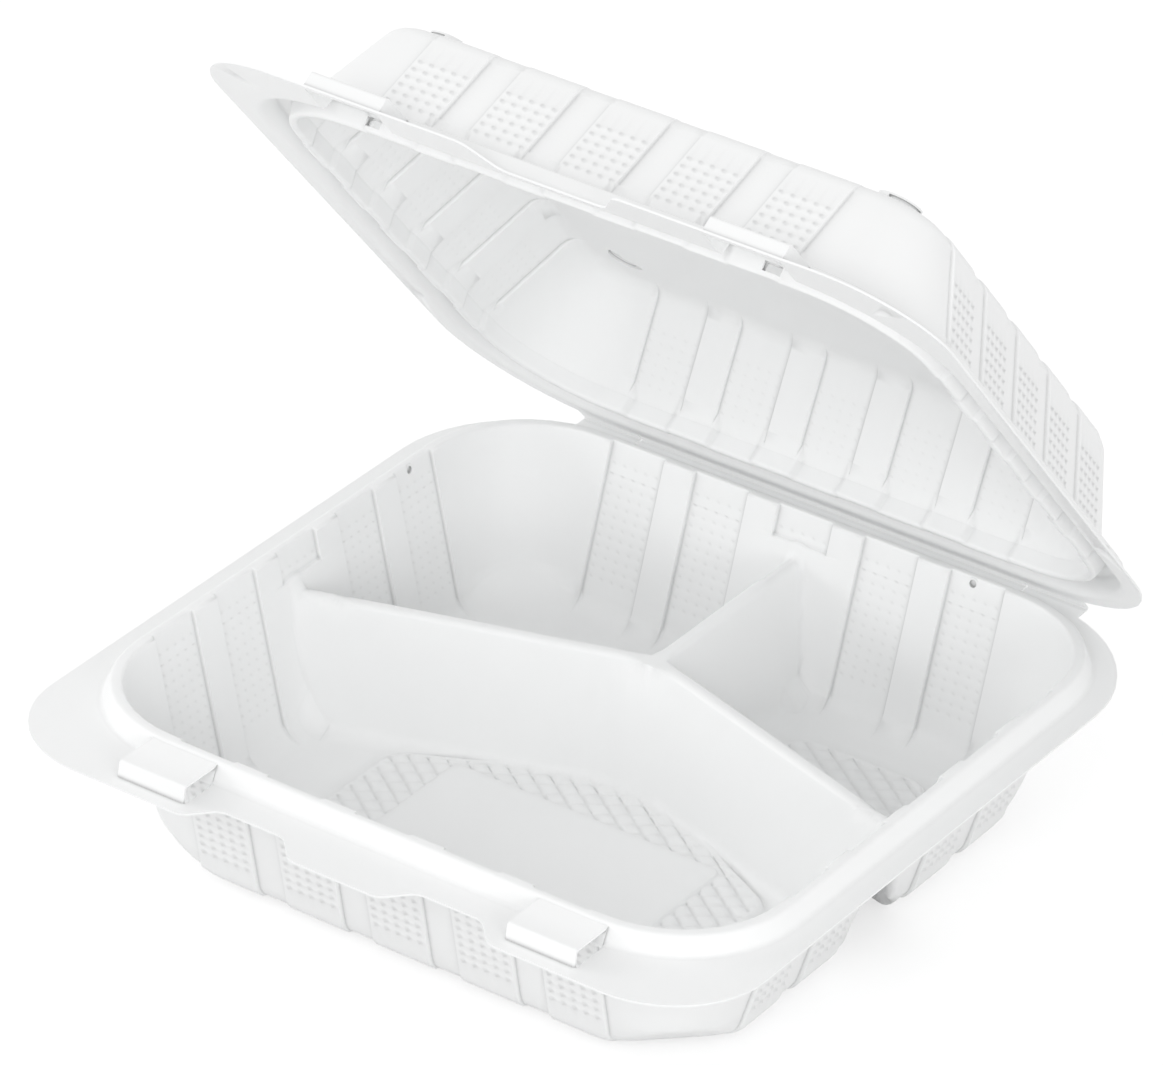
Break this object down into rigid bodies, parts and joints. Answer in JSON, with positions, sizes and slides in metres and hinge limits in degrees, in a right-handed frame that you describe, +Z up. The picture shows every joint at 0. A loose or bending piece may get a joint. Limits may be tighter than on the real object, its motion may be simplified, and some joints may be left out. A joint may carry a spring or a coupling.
{
  "type": "clamshell food container",
  "caption": "Hinged clamshell food container formed from one thin sheet, with divided compartments, finger lobes, latch tabs and a vented lid on living-hinge straps.",
  "frame": {"origin": "under the middle of the tray's rim, on the plane that the tray stands on", "axes": "+X to the right seen from the front, +Y to the back where the hinge is, +Z up"},
  "size_m": [0.225, 0.2429, 0.219],
  "materials": {
    "sheet": "satin white mineral-filled polypropylene"
  },
  "bodies": {
    "tray": {"tray": "sheet"},
    "lid": {"lid": "sheet"}
  },
  "joints": [
    {"name": "lid_hinge", "type": "hinge", "parent": "tray", "child": "lid", "pos_m": [0, 0.114, 0.0447], "axis": [-1, 0, 0], "range_deg": [-47, 133]}
  ]
}
